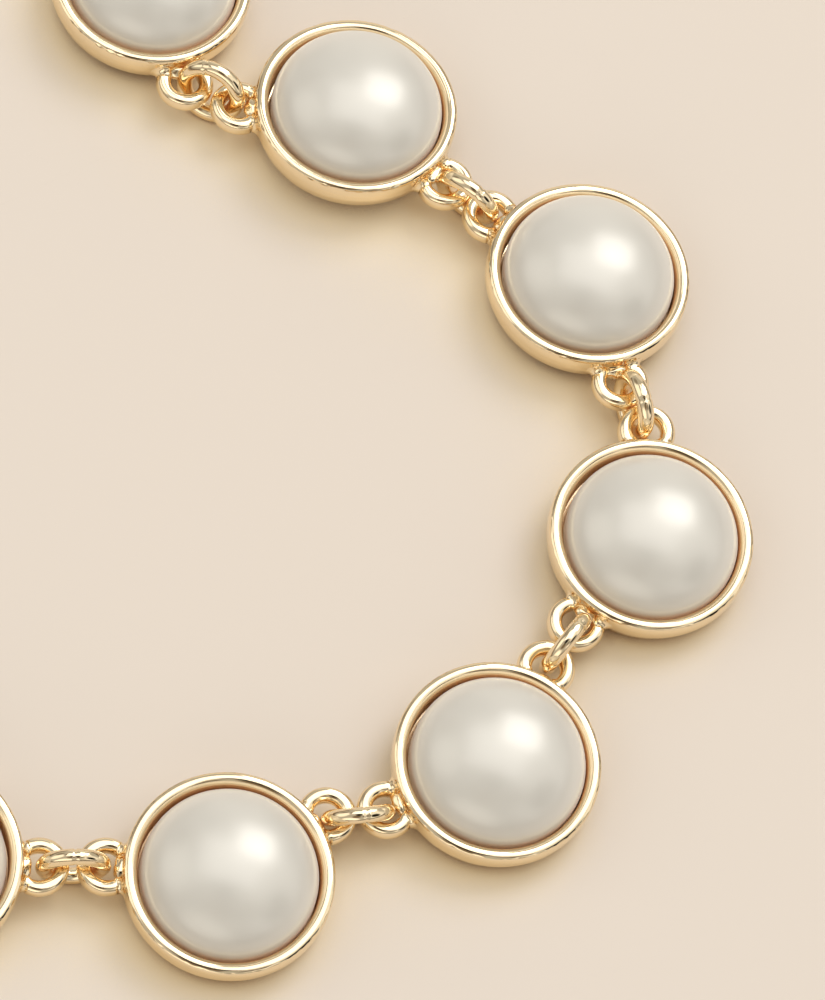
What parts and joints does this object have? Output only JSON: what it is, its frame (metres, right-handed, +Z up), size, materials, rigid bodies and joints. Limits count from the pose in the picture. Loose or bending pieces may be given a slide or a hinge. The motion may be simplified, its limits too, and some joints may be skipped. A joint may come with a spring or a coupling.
{
  "type": "faux pearl necklace",
  "caption": "Collar necklace of domed faux pearls in round gold-toned settings, linked by upright rings through soldered wire loops, closed by a plain bar clasp, lying flat.",
  "frame": {"origin": "bottom centre of the bounding box, on the surface that the collar lies on", "axes": "+Z up; +X from the clasp towards the front of the collar; +Y across it, away from the viewer of the lower edge"},
  "size_m": [0.1728, 0.134, 0.009],
  "materials": {
    "gold_metal": "polished pale gold plating",
    "pearl": "satin pearl lacquer over a moulded dome"
  },
  "bodies": {
    "root": {"setting_01": "gold_metal", "setting_02": "gold_metal", "setting_03": "gold_metal", "setting_04": "gold_metal", "setting_05": "gold_metal", "setting_06": "gold_metal", "setting_07": "gold_metal", "setting_08": "gold_metal", "setting_09": "gold_metal", "setting_10": "gold_metal", "setting_11": "gold_metal", "setting_12": "gold_metal", "setting_13": "gold_metal", "setting_14": "gold_metal", "setting_15": "gold_metal", "pearl_01": "pearl", "pearl_02": "pearl", "pearl_03": "pearl", "pearl_04": "pearl", "pearl_05": "pearl", "pearl_06": "pearl", "pearl_07": "pearl", "pearl_08": "pearl", "pearl_09": "pearl", "pearl_10": "pearl", "pearl_11": "pearl", "pearl_12": "pearl", "pearl_13": "pearl", "pearl_14": "pearl", "pearl_15": "pearl", "ring_01": "gold_metal", "ring_02": "gold_metal", "ring_03": "gold_metal", "ring_04": "gold_metal", "ring_05": "gold_metal", "ring_06": "gold_metal", "ring_07": "gold_metal", "ring_08": "gold_metal", "ring_09": "gold_metal", "ring_10": "gold_metal", "ring_11": "gold_metal", "ring_12": "gold_metal", "ring_13": "gold_metal", "ring_14": "gold_metal", "ring_15": "gold_metal", "ring_16": "gold_metal", "clasp": "gold_metal"}
  },
  "joints": []
}
